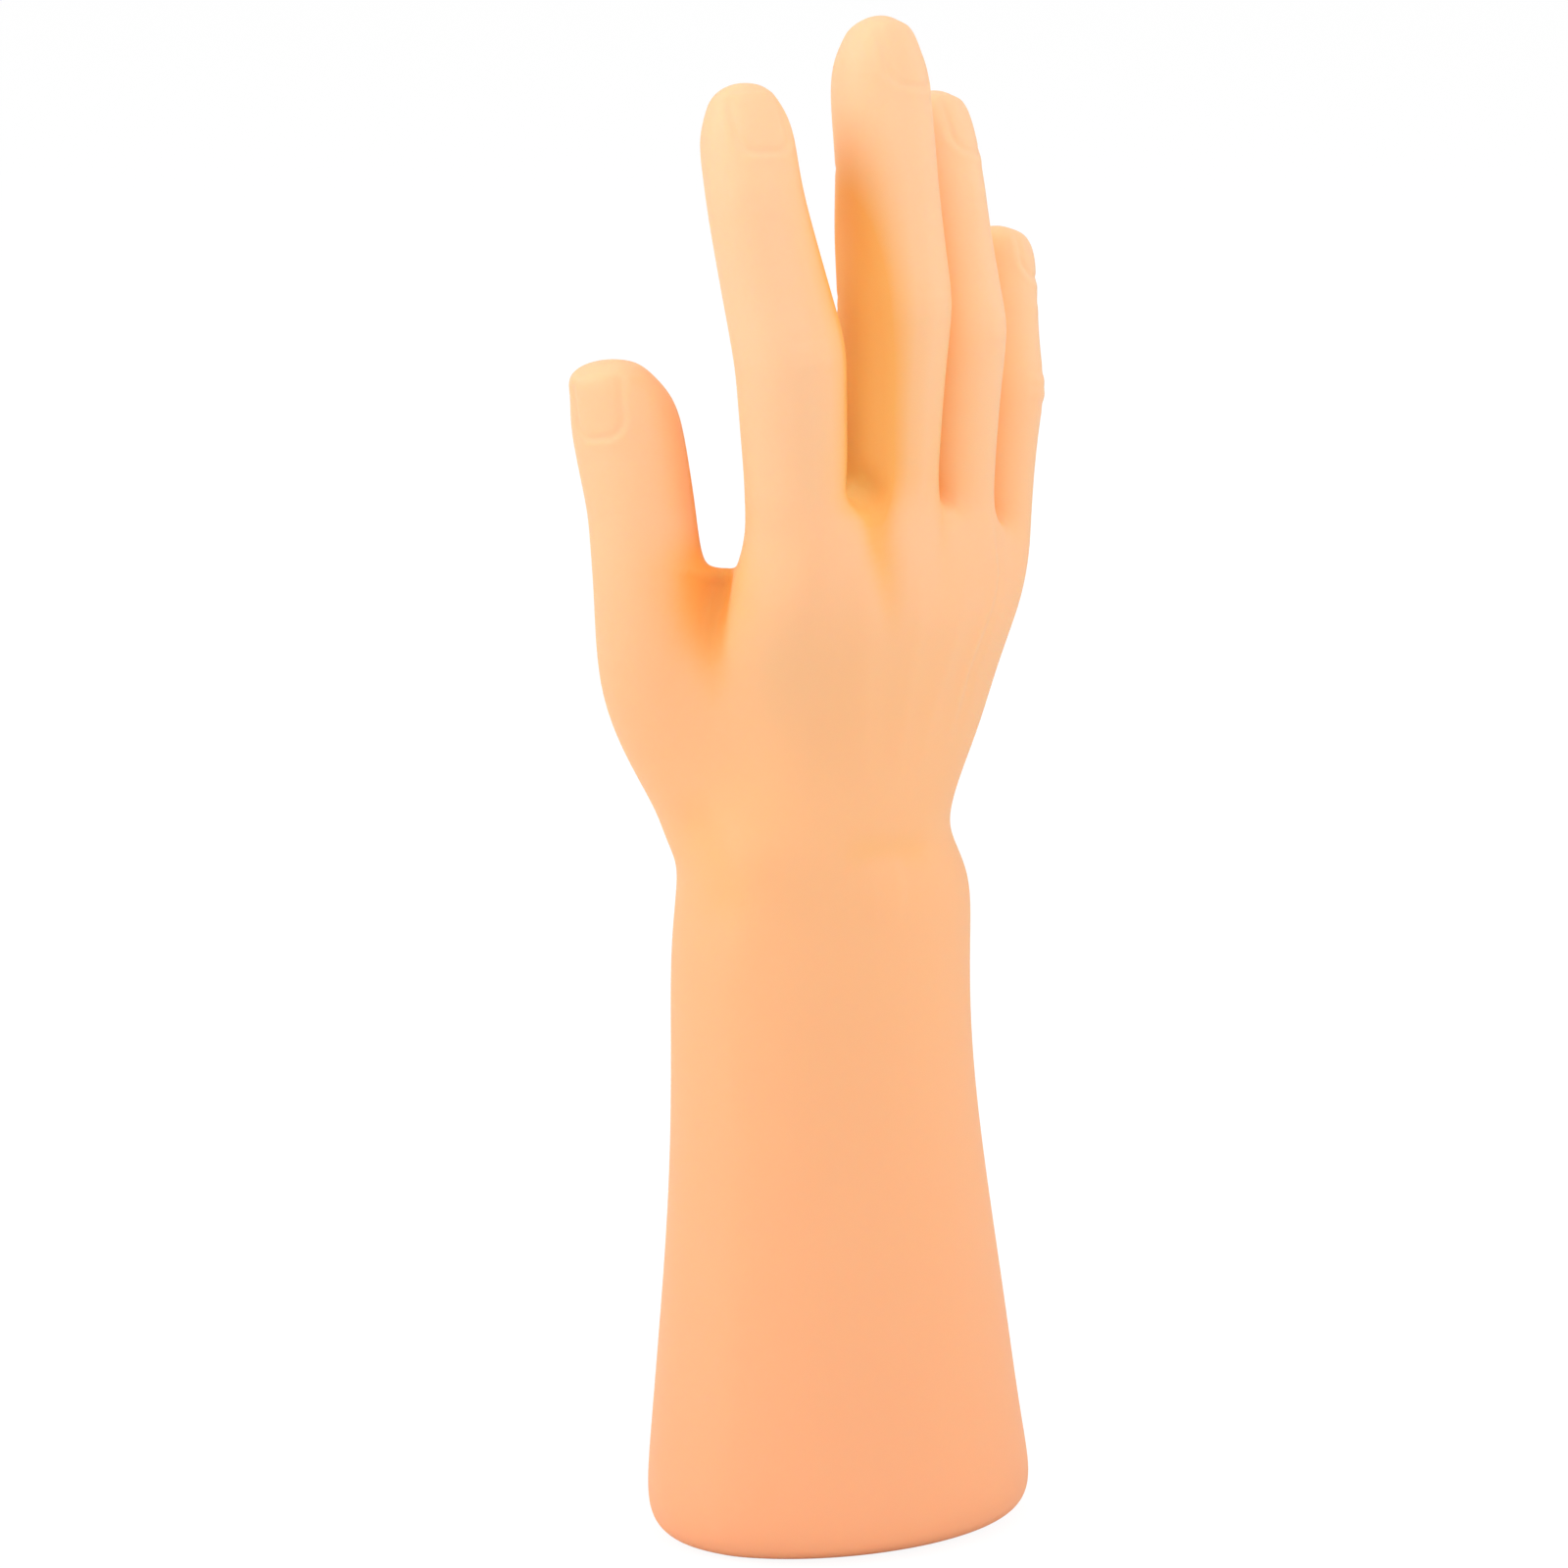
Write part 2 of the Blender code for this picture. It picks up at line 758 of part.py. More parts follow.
def make_plug():
    plug = link_mesh("base_plug", loft(plug_loops()))
    vent = bmesh.new()
    bmesh.ops.create_cone(
        vent,
        cap_ends=True,
        segments=16,
        radius1=VENT_DIAMETER / 2,
        radius2=VENT_DIAMETER / 2,
        depth=4 * (REBATE_DEPTH + LIP_THICKNESS + BEAD_HEIGHT),
        matrix=Matrix.Translation((VENT_OFFSET, 0, 0)),
    )
    cut(plug, as_cutter(link_mesh("vent_cutter", vent)))
    slot = bmesh.new()
    bmesh.ops.create_cube(
        slot,
        size=1,
        matrix=Matrix.LocRotScale(
            Vector((FOOT_SHIFT - REBATE_HALF_LENGTH, 0, 0)),
            None,
            Vector((2 * PRY_SLOT_REACH, PRY_SLOT_WIDTH, 4 * REBATE_DEPTH)),
        ),
    )
    cut(plug, as_cutter(link_mesh("slot_cutter", slot)))
    shade_round(plug, 40)
    plug.data.materials.append(vinyl("plug vinyl", (0.90, 0.45, 0.24), 0.6))
    return plug


def main():
    clear_scene()
    display = bpy.data.objects.new("hand_ring_display", None)
    bpy.context.scene.collection.objects.link(display)
    for item in (make_skin(), make_plug()):
        item.parent = display


main()
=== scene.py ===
import math

import bpy
import numpy as np
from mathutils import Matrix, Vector
from mathutils.bvhtree import BVHTree


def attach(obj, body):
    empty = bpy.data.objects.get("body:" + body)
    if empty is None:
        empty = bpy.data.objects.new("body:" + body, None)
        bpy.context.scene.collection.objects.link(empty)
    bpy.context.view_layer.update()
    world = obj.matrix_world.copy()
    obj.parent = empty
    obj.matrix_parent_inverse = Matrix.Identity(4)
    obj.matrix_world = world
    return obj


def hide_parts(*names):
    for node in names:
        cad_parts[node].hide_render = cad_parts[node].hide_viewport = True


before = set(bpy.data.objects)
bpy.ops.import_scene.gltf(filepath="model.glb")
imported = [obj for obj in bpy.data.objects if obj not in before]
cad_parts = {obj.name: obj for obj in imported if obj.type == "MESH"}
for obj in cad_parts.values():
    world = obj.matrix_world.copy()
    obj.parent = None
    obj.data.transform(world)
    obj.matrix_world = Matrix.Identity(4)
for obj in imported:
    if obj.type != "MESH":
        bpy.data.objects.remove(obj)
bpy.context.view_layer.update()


# Skin of the hand
# One hollow casting in soft PVC, spun in a heated mould and drawn out through the foot while warm.
# Fingers, palm and forearm are the same skin, so there is no seam, and the mould's nails are in it.

MM = 0.001
MERGE_DISTANCE = 0.001 * MM
UNDERSIDE_HEIGHT = 0.09 * MM
UNDERSIDE_FACING = -0.99
SKIN_ROUNDING = 2


def work_on(piece, mode="EDIT"):
    """Makes this piece the only one chosen. Edit mode starts with none of its faces chosen."""
    if bpy.context.object and bpy.context.object.mode != "OBJECT":
        bpy.ops.object.mode_set(mode="OBJECT")
    bpy.ops.object.select_all(action="DESELECT")
    piece.select_set(True)
    bpy.context.view_layer.objects.active = piece
    if mode == "EDIT":
        bpy.ops.object.mode_set(mode="EDIT")
        bpy.ops.mesh.select_mode(type="FACE")
        bpy.ops.mesh.select_all(action="DESELECT")


def choose_faces(piece, wanted):
    """Leaves the piece in edit mode with the faces chosen whose middle and normal are wanted."""
    work_on(piece)
    bpy.ops.object.mode_set(mode="OBJECT")
    for face in piece.data.polygons:
        face.select = wanted(face.center, face.normal)
    bpy.ops.object.mode_set(mode="EDIT")


def on_underside(middle, normal):
    """Picks the flat faces that the hand stands on."""
    return middle.z < UNDERSIDE_HEIGHT and normal.z < UNDERSIDE_FACING


cast_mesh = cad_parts["hand_skin"].data.copy()
cast_mesh.materials.clear()
hand = bpy.data.objects.new("hand", cast_mesh)
bpy.context.scene.collection.objects.link(hand)
work_on(hand)
bpy.ops.mesh.select_all(action="SELECT")
bpy.ops.mesh.remove_doubles(threshold=MERGE_DISTANCE)

# The flat underside comes off, which parts the outer face of the skin from the hollow inside it
choose_faces(hand, on_underside)
bpy.ops.mesh.delete(type="FACE")
bpy.ops.mesh.select_all(action="SELECT")
bpy.ops.mesh.separate(type="LOOSE")
bpy.ops.object.mode_set(mode="OBJECT")
halves = [item for item in bpy.context.selected_objects if item.type == "MESH"]
hand = max(halves, key=lambda half: half.dimensions.z)

work_on(hand)
bpy.ops.mesh.select_all(action="SELECT")
bpy.ops.mesh.tris_convert_to_quads(face_threshold=math.pi, shape_threshold=math.pi)
bpy.ops.object.mode_set(mode="OBJECT")

# Painted shade: how sheltered each place is, as the share of its view that the hand itself fills.
# Between fingers the light goes from wall to wall and back, and the skin there is painted a deeper
# orange as painted shade.
VIEW_REACH = 80 * MM
VIEW_START = 0.4 * MM
VIEW_RAYS = 72
GOLDEN_ANGLE = math.pi * (3 - math.sqrt(5))

skin = BVHTree.FromPolygons(
    [vertex.co for vertex in hand.data.vertices], [face.vertices for face in hand.data.polygons]
)
rays = []
for number in range(VIEW_RAYS):
    away = math.sqrt((number + 0.5) / VIEW_RAYS)
    turn = GOLDEN_ANGLE * number
    rays.append(Vector((away * math.cos(turn), away * math.sin(turn), math.sqrt(1 - away * away))))
painted_shade = []
for vertex in hand.data.vertices:
    start = vertex.co + vertex.normal * VIEW_START
    tilt = vertex.normal.to_track_quat("Z", "Y")
    met = [skin.ray_cast(start, tilt @ ray, VIEW_REACH)[0] is not None for ray in rays]
    painted_shade.append(sum(met) / VIEW_RAYS)

# The painted shade is evened out with each place's neighbours, as light spreads in the vinyl
EVENING_ROUNDS = 3
EVENING_SHARE = 0.6


def put_on_points(name, values):
    """Keeps one number for each vertex of the hand, where its material can read it."""
    attribute = hand.data.attributes.get(name)
    if attribute is None:
        attribute = hand.data.attributes.new(name, "FLOAT", "POINT")
    attribute.data.foreach_set("value", values.astype(np.float32))


painted_shade = np.array(painted_shade)
edges = np.array([edge.vertices[:] for edge in hand.data.edges])
neighbours = np.bincount(edges.ravel())
for evening_round in range(EVENING_ROUNDS):
    summed = np.bincount(edges.ravel(), painted_shade[edges[:, ::-1]].ravel())
    painted_shade += EVENING_SHARE * (summed / neighbours - painted_shade)
put_on_points("painted_shade", painted_shade)

rounding = hand.modifiers.new("Rounding", "SUBSURF")
rounding.levels = SKIN_ROUNDING
rounding.render_levels = SKIN_ROUNDING
bpy.ops.object.modifier_apply(modifier=rounding.name)


# Nails and fingertips
# The mould is taken from a real hand, so each nail is a faint plate with a fold of skin round it.
# They are in the skin itself and have its colour.

# Joint before the tip, tip, way the nail faces, then the nail's middle along the bone and across
# it, and its half length and half width, all in millimetres
NAILS = {
    "index": (
        (-27.5, -12.3, 220.2), (-25.8, -6.5, 239.4), (-0.298, -0.906, 0.301), 12.0, 0.4, 5.2, 4.3
    ),
    "middle": (
        (-2.0, -14.1, 224.4), (1.0, -9.4, 249.4), (0.109, -0.979, 0.172), 17.6, 0.1, 5.5, 4.6
    ),
    "ring": (
        (14.6, -8.7, 215.8), (17.5, -2.9, 236.0), (0.347, -0.914, 0.209), 13.6, 0.0, 5.0, 4.1
    ),
    "little": (
        (31.6, -2.9, 199.2), (34.7, 0.2, 211.8), (0.521, -0.850, 0.080), 8.0, 0.0, 4.0, 3.5
    ),
    "thumb": (
        (-33.4, 9.1, 170.5), (-37.6, 11.7, 194.9), (-0.900, -0.421, -0.113), 18.2, -0.8, 5.2, 4.2
    ),
}
NAIL_MARGIN = 3.0
FINGER_DEPTH = 12.0
NAIL_SIDE_FACING = 0.15
SMOOTHING_SHARE = 0.5
SMOOTHING_ROUNDS = 2


def nail_axes(nail):
    """The nail's own corner of space: its middle, then along, across and out."""
    joint, tip, facing = (Vector(value) for value in nail[:3])
    along = (tip - joint).normalized()
    out = (facing - along * facing.dot(along)).normalized()
    across = along.cross(out)
    if across.x < 0:
        across = -across
    return joint + along * nail[3] + across * nail[4], along, across, out


# The skin round each nail gets finer faces for the plate and its fold
for nail in NAILS.values():
    middle, along, across, out = nail_axes(nail)
    reach_long, reach_wide = nail[5] + NAIL_MARGIN, nail[6] + NAIL_MARGIN

    def near_nail(place, normal):
        step = place / MM - middle
        return (
            abs(step.dot(along)) < reach_long
            and abs(step.dot(across)) < reach_wide
            and 0 < step.dot(out) < FINGER_DEPTH
            and normal.dot(out) > NAIL_SIDE_FACING
        )

    choose_faces(hand, near_nail)
    bpy.ops.mesh.subdivide(number_cuts=1)
    bpy.ops.mesh.vertices_smooth(factor=SMOOTHING_SHARE, repeat=SMOOTHING_ROUNDS)
bpy.ops.object.mode_set(mode="OBJECT")

# From here on the points of the skin are in millimetres. The tips are moved at once, and all else is
# gathered as a lift along each point's normal.
points = np.empty(len(hand.data.vertices) * 3)
hand.data.vertices.foreach_get("co", points)
points = points.reshape(-1, 3) / MM
normals = np.empty(len(hand.data.vertices) * 3, dtype=np.float32)
hand.data.vertex_normals.foreach_get("vector", normals)
normals = normals.reshape(-1, 3).astype(float)
lift = np.zeros(len(points))


def hump(distance, width):
    """One at no distance, falling off smoothly over the width."""
    return np.exp(-((distance / width) ** 2))


def ease(value, start, end):
    """Nothing up to the start and one from the end on, with a smooth rise between."""
    share = np.clip((value - start) / (end - start), 0, 1)
    return share * share * (3 - 2 * share)


# The tips are rounder than the casting's own, and the little finger's is fuller. Each has how far it
# is drawn in behind its end, as a share of its thickness, and how far its end comes up, in
# millimetres.
TIP_ROUNDING = {
    "index": (0.09, 0.6), "middle": (0.08, 0.5), "thumb": (0.06, 0.4), "little": (-0.10, 0.4)
}
SHOULDER = 4.0
TIP_REACH = 12.0
TIP_TOP = 1.0

for name, (drawn_in, raised) in TIP_ROUNDING.items():
    joint, tip = (np.array(place) for place in NAILS[name][:2])
    along = (tip - joint) / np.linalg.norm(tip - joint)
    step = points - tip
    beyond = step @ along
    aside = step - beyond[:, None] * along
    on_tip = (np.linalg.norm(aside, axis=1) < TIP_REACH) & (beyond > -TIP_REACH)
    inward = drawn_in * hump(beyond + SHOULDER, SHOULDER) * on_tip
    upward = raised * ease(beyond, -TIP_REACH / 2, TIP_TOP) * on_tip
    points += along * upward[:, None] - aside * inward[:, None]

# The plate is a rounded rectangle. A groove runs round it, with a rim of skin outside the groove,
# and both fade toward the nail's free end, which has a shallower groove of its own.
NAIL_CORNER = 2.9
FOLD_DEPTH = 0.17
FOLD_WIDTH = 0.60
RIM_HEIGHT = 0.12
RIM_PLACE = 1.2
RIM_WIDTH = 0.8
FADE_START = 2.4
FADE_END = 0.6
PLATE_LIFT = 0.05
PLATE_SLOPE = 0.8
FREE_EDGE_DEPTH = 0.136
FREE_EDGE_PLACE = 0.2
FREE_EDGE_WIDTH = 0.6
FREE_EDGE_FADE = 1.5
FULL_FACING = 0.4

for nail in NAILS.values():
    middle, along, across, out = (np.array(axis) for axis in nail_axes(nail))
    half_long, half_wide = nail[5], nail[6]
    step = points - middle
    length, width = step @ along, step @ across
    corner_long = np.abs(length) - (half_long - NAIL_CORNER)
    corner_wide = np.abs(width) - (half_wide - NAIL_CORNER)
    outside = np.hypot(np.maximum(corner_long, 0), np.maximum(corner_wide, 0))
    edge = outside + np.minimum(np.maximum(corner_long, corner_wide), 0) - NAIL_CORNER
    fade = 1 - ease(length, half_long - FADE_START, half_long - FADE_END)
    past_end = hump(length - half_long - FREE_EDGE_PLACE, FREE_EDGE_WIDTH)
    between_sides = ease(half_wide - np.abs(width), 0.0, FREE_EDGE_FADE)
    shape = -FOLD_DEPTH * hump(edge, FOLD_WIDTH) * fade
    shape += RIM_HEIGHT * hump(edge - RIM_PLACE, RIM_WIDTH) * fade
    shape += PLATE_LIFT * ease(-edge, 0.0, PLATE_SLOPE)
    shape -= FREE_EDGE_DEPTH * past_end * between_sides
    lift += shape * ease(normals @ out, 0.0, FULL_FACING) * ((step @ out) > 0)


# Creases, tendons and veins of the hand
# They come from the same model hand: wrinkles over the joints, lines in the palm, soft cords on the
# back. Each is pressed into the skin, or raised from it, along a line on the surface.

# Points along each line, how many of its widths it reaches to the side, and the share of its length
# by which its rise and fall begin outside its ends
LINE_POINTS = 28
LINE_REACH = 3
LINE_LEAD = 0.02


def on_skin(line):
    """Evenly spaced points on the skin along a line of points in millimetres."""
    corners = np.array(line, float)
    lengths = np.linalg.norm(np.diff(corners, axis=0), axis=1)
    walked = np.concatenate([[0], np.cumsum(lengths)])
    places = np.linspace(0, walked[-1], LINE_POINTS)
    spaced = np.stack([np.interp(places, walked, corners[:, way]) for way in range(3)], 1)
    found = [hand.closest_point_on_mesh(Vector(place) * MM)[1] / MM for place in spaced]
    return np.array([tuple(place) for place in found])


def press(line, depth, width, start=0.3, end=0.3):
    """Presses a groove of this depth and half width, or raises a cord if the depth is negative.

    It grows over the start's share of its length and fades over the end's.
    """
    track = on_skin(line)
    low = track.min(0) - LINE_REACH * width
    high = track.max(0) + LINE_REACH * width
    near = np.all((points > low) & (points < high), axis=1)
    gaps = np.linalg.norm(points[near][:, None, :] - track[None, :, :], axis=2)
    along = gaps.argmin(1) / (len(track) - 1)
    fade = ease(along, -LINE_LEAD, start) * ease(1 - along, -LINE_LEAD, end)
    lift[near] -= depth * hump(gaps.min(1), width) * fade


# Each digit's root, joints and tip, then half its thickness, all in millimetres
FINGER_JOINTS = {
    "index": (((-22.0, -16.0, 173.4), (-24.1, -16.7, 196.4), *NAILS["index"][:2]), 9.0),
    "middle": (((-3.5, -15.3, 174.3), (-3.0, -17.1, 202.9), *NAILS["middle"][:2]), 9.4),
    "ring": (((13.2, -10.8, 169.6), (14.2, -12.2, 197.2), *NAILS["ring"][:2]), 8.6),
    "little": (((28.6, -4.0, 164.2), (30.0, -4.9, 185.8), *NAILS["little"][:2]), 7.6),
    "thumb": (((-33.0, 8.5, 161.0), *NAILS["thumb"][:2]), 8.8),
}
# Height of the soft pad over the joint, then the wrinkles in it, each as its shift along the finger
# and its bow, then their depth, and last the shifts of the creases on the palm side
MIDDLE_JOINT = (0.30, ((-2.3, -0.9), (0.3, 0.2), (2.6, 1.0)), 0.17, (-0.9, 0.9))
END_JOINT = (0.15, ((0.2, 0.3),), 0.12, (0.0,))
# How far round the finger each goes, in degrees to either side, its half width, and the depths of
# the creases. The root's crease lies where the finger leaves the palm.
PAD_SWEEP = 24
PAD_WIDTH = 3.2
WRINKLE_SWEEP = 30
WRINKLE_WIDTH = 0.85
CREASE_SWEEP = 62
CREASE_WIDTH = 0.65
CREASE_DEPTH = 0.30
ROOT_SWEEP = 58
ROOT_WIDTH = 0.7
ROOT_DEPTH = 0.34
ROOT_SHIFT = 2.0
RING_POINTS = 9


def ring_line(joint, along, out, thickness, shift, sweep, bow=0.0):
    """A line across a finger at a joint, on the side that out faces, with its ends bowed along."""
    across = along.cross(out)
    line = []
    for angle in np.linspace(-sweep, sweep, RING_POINTS):
        turn = math.radians(angle)
        side = out * math.cos(turn) + across * math.sin(turn)
        line.append(joint + along * (shift + bow * (angle / sweep) ** 2) + side * thickness)
    return line


for name, (joints, thickness) in FINGER_JOINTS.items():
    bones = [Vector(joint) for joint in joints]
    facing = Vector(NAILS[name][2])
    for step in range(1, len(bones) - 1):
        along = (bones[step + 1] - bones[step - 1]).normalized()
        out = (facing - along * facing.dot(along)).normalized()
        back = (bones[step], along, out, thickness)
        front = (bones[step], along, -out, thickness)
        kind = MIDDLE_JOINT if step == 1 and name != "thumb" else END_JOINT
        pad_height, wrinkles, wrinkle_depth, creases = kind
        press(ring_line(*back, 0.0, PAD_SWEEP), -pad_height, PAD_WIDTH)
        for shift, bow in wrinkles:
            press(ring_line(*back, shift, WRINKLE_SWEEP, bow), wrinkle_depth, WRINKLE_WIDTH)
        for shift in creases:
            press(ring_line(*front, shift, CREASE_SWEEP), CREASE_DEPTH, CREASE_WIDTH)
    if name != "thumb":
        along = (bones[1] - bones[0]).normalized()
        out = (facing - along * facing.dot(along)).normalized()
        front = (bones[0], along, -out, thickness)
        press(ring_line(*front, ROOT_SHIFT, ROOT_SWEEP), ROOT_DEPTH, ROOT_WIDTH)

# Back of the hand: three cords that run from the knuckles to the wrist
press([(-16, -25, 163), (-12, -22, 141), (-9, -20, 122)], -0.35, 2.6)
press([(-3.5, -25, 165), (-3, -22, 142), (-4, -20, 122)], -0.35, 2.4)
press([(9, -21, 160), (4, -20, 140), (0, -19.5, 124)], -0.30, 2.2)

# The dips between the knuckles, from the fork of two fingers over the back of the hand
INDEX_DIP = [
    (-11.2, -12.5, 174.5), (-11.6, -19, 174.2), (-12.0, -23.8, 170), (-12.2, -24.8, 166),
    (-11.0, -25.2, 160.5), (-9.3, -24.6, 154), (-7.5, -23.5, 147),
]
MIDDLE_DIP = [
    (6.5, -11, 172.5), (6, -17, 171.5), (4.5, -20.5, 170), (4.0, -21.7, 167.5), (3.9, -22, 162),
    (3.6, -21.8, 152),
]
press(INDEX_DIP, 1.7, 2.8, 0.22, 0.9)
press(MIDDLE_DIP, 0.8, 2.3, 0.5, 0.9)

# A thin cord down the little finger's side of the back, with a groove beside it
SIDE_CORD = [
    (15, -18.9, 169), (17.5, -18.1, 162), (18.2, -17.8, 157.5), (16.1, -18.8, 152.5),
    (13.7, -19.2, 148.8), (11.1, -18.7, 143), (9.5, -18, 136.3), (8, -17.6, 130),
]
GROOVE_SIDE = 2.2
GROOVE_INWARD = 1.0
press(SIDE_CORD, -0.48, 1.5)
press([(x + GROOVE_SIDE, y + GROOVE_INWARD, z) for x, y, z in SIDE_CORD], 0.30, 1.7)

# Fold from the fork of the thumb down to the root of its first bone, and the wider hollow beside
# it. How deep each place lies in them is kept, so that the material paints the deepest orange there
# as painted shade.
FORK_FOLD = [
    (-26.1, -1.8, 160.2), (-27, -2.3, 157.5), (-28, -2.7, 154), (-29, -3, 150), (-29, -3.4, 144),
    (-28.3, -4.2, 137),
]
FORK_HOLLOW = [(-29.5, -1, 160.5), (-30.8, -1.1, 156), (-31, -1.2, 150.5), (-30.6, -1.6, 143)]
FORK_DEPTH = 1.6
lift_before = lift.copy()
press(FORK_FOLD, 1.2, 2.4, 0.05, 0.8)
press(FORK_HOLLOW, 0.8, 3.2, 0.05, 0.8)
put_on_points("fork", np.clip((lift_before - lift) / FORK_DEPTH, 0, 1))

# Wrist: a fold on the back, the hollow at the root of the thumb and the end of the forearm bone,
# then the two lines on its palm side
press([(8.5, -15.7, 114.2), (-0.4, -18.7, 115), (-9.2, -19.3, 115.8), (-17, -18, 116)], 0.32, 2.6)
press([(-31.6, 2.4, 126), (-29.6, -1, 118.5), (-29, -6, 111), (-27.2, -9.6, 103)], 0.6, 5.0)
press([(-12, -19.5, 109), (-2, -20, 108.5)], -0.5, 4.5)
press([(-20, 15, 113), (0, 20, 112), (18, 15, 113)], 0.30, 0.9)
press([(-19, 15, 108.5), (0, 20, 107), (17, 15, 108.5)], 0.22, 0.8)

# Palm: the three long lines
press([(-21, -3, 158), (-11, 4, 153), (-3, 9, 140), (0, 15, 127), (-1, 18, 119)], 0.50, 1.5)
press([(-20, -4, 157.5), (-6, 2, 151), (9, 6, 144), (21, 8, 138)], 0.42, 1.2)
press([(31, 3, 150), (20, 3, 153), (6, 0, 158), (-7, -4, 165)], 0.42, 1.2)

# The painted shade is deeper in a fold, the more the deeper it is. It is painted lighter where more
# light gets in: beside the thumb and the last two fingers, which stand apart from the rest, round the
# fork of the thumb, from the palm side and over the ends of the fingers. Each pair says where that
# sets in and where it is full, and ABOVE_FORK says where it stops again above the fork.
FOLD_PAINTED_SHADE = 0.16
FULL_FOLD = 1.0
THUMB_APART = 0.95
THUMB_SIDE = (26.0, 30.0)
THUMB_HEIGHT = (160.0, 169.0)
LAST_TWO_APART = 0.82
LAST_TWO_SIDE = (0.0, 7.0)
PALM_OPEN = 0.65
PALM_SIDE = (1.0, 8.0)
PALM_FACING = (0.2, 0.7)
FORK_OPEN = 0.55
FORK_SIDE = (15.0, 21.0)
ABOVE_FORK = (166.0, 176.0)
ENDS_HEIGHT = (204.0, 238.0)

painted_shade = np.empty(len(points), dtype=np.float32)
hand.data.attributes["painted_shade"].data.foreach_get("value", painted_shade)
painted_shade += FOLD_PAINTED_SHADE * np.clip(-lift / FULL_FOLD, 0, 1)
x, y, z = points.T
painted_shade *= 1 - THUMB_APART * ease(-x, *THUMB_SIDE) * ease(z, *THUMB_HEIGHT)
painted_shade *= 1 - LAST_TWO_APART * ease(x, *LAST_TWO_SIDE)
painted_shade *= 1 - PALM_OPEN * ease(y, *PALM_SIDE)
painted_shade *= 1 - PALM_OPEN * ease(normals[:, 1], *PALM_FACING)
painted_shade *= 1 - FORK_OPEN * ease(-x, *FORK_SIDE) * (1 - ease(z, *ABOVE_FORK))
painted_shade *= 1 - ease(z, *ENDS_HEIGHT)
put_on_points("painted_shade", painted_shade)
points += normals * lift[:, None]
hand.data.vertices.foreach_set("co", (points * MM).ravel())
hand.data.update()

# The outer face and the hollow are joined again by the flat ring that the hand stands on
SMOOTH_BELOW = math.radians(42)

work_on(hand, "OBJECT")
for half in halves:
    half.select_set(True)
bpy.ops.object.join()
bpy.ops.object.mode_set(mode="EDIT")
bpy.ops.mesh.select_mode(type="EDGE")
bpy.ops.mesh.select_all(action="DESELECT")
bpy.ops.mesh.select_non_manifold()
bpy.ops.mesh.fill()
bpy.ops.mesh.select_all(action="SELECT")
bpy.ops.mesh.normals_make_consistent(inside=False)
bpy.ops.object.mode_set(mode="OBJECT")
bpy.ops.object.shade_smooth_by_angle(angle=SMOOTH_BELOW)


def linear(hex_colour):
    """The linear red, green, blue and alpha of an sRGB hex colour."""
    parts = [int(hex_colour[place : place + 2], 16) / 255 for place in (1, 3, 5)]
    parts = [part / 12.92 if part <= 0.04045 else ((part + 0.055) / 1.055) ** 2.4 for part in parts]
    return (*parts, 1.0)


def add_node(tree, kind, settings=None, inputs=None):
    """Adds a node, sets its properties, and fills or links its sockets."""
    node = tree.nodes.new(kind)
    for key, value in (settings or {}).items():
        setattr(node, key, value)
    for key, value in (inputs or {}).items():
        if isinstance(value, bpy.types.NodeSocket):
            tree.links.new(value, node.inputs[key])
        else:
            node.inputs[key].default_value = value
    return node


# Soft PVC, spun in a polished mould: even and matte with a dull gleam, and light sinks a few
# millimetres into it, which keeps the gaps between the fingers warm instead of grey. On top of that
# the gaps are painted a deeper orange, as painted shade.
# Painted light and shade: darker at the foot, lighter toward the tips, as light falls off down the
# hand
SKIN_AT_FOOT = "#FFAD7E"
SKIN_AT_WRIST = "#FFBA84"
SKIN_AT_TIPS = "#FFC79A"
PAINTED_SHADE_IN_FORK = "#FFA850"
WRIST_SHARE = 0.62
FULL_TIP_COLOUR = 210 * MM
# Painted shade: the share at which each deeper orange starts, the share at which it is full, and the
# orange
PAINTED_SHADE_COLOURS = ((0.0, 0.2, "#FFB45E"), (0.3, 0.8, "#FFD07E"))
PATCH_SIZE = 25 * MM
PATCH_SHARE = 0.08
WAVE_SIZE = 9 * MM
WAVE_HEIGHT = 0.12 * MM
GRAIN_SIZE = 0.6 * MM
GRAIN_HEIGHT = 0.02 * MM

vinyl = bpy.data.materials.new("soft PVC skin")
vinyl.use_nodes = True
tree = vinyl.node_tree
shader = tree.nodes["Principled BSDF"]
place = add_node(tree, "ShaderNodeTexCoord").outputs["Object"]
height = add_node(tree, "ShaderNodeSeparateXYZ", inputs={"Vector": place}).outputs["Z"]
# Height up the hand, for the painted light and shade from foot to tips
up_the_hand = add_node(
    tree,
    "ShaderNodeMapRange",
    inputs={"Value": height, "From Min": 0.0, "From Max": FULL_TIP_COLOUR},
).outputs["Result"]
# Uneven pigment, in large faint patches
patches = add_node(
    tree, "ShaderNodeTexNoise", inputs={"Vector": place, "Scale": 1 / PATCH_SIZE, "Detail": 3.0}
).outputs["Fac"]
patchy_height = add_node(
    tree,
    "ShaderNodeMath",
    {"operation": "MULTIPLY_ADD", "use_clamp": True},
    {0: patches, 1: PATCH_SHARE, 2: up_the_hand},
).outputs["Value"]
shades = add_node(tree, "ShaderNodeValToRGB", inputs={"Fac": patchy_height})
shades.color_ramp.elements[0].color = linear(SKIN_AT_FOOT)
shades.color_ramp.elements[1].color = linear(SKIN_AT_TIPS)
shades.color_ramp.elements.new(WRIST_SHARE).color = linear(SKIN_AT_WRIST)
colour = shades.outputs["Color"]
# Painted shade: a deeper orange where the hand shelters itself
painted_shade_amount = add_node(tree, "ShaderNodeAttribute", {"attribute_name": "painted_shade"}).outputs["Fac"]
fork_painted_shade = add_node(tree, "ShaderNodeAttribute", {"attribute_name": "fork"}).outputs["Fac"]
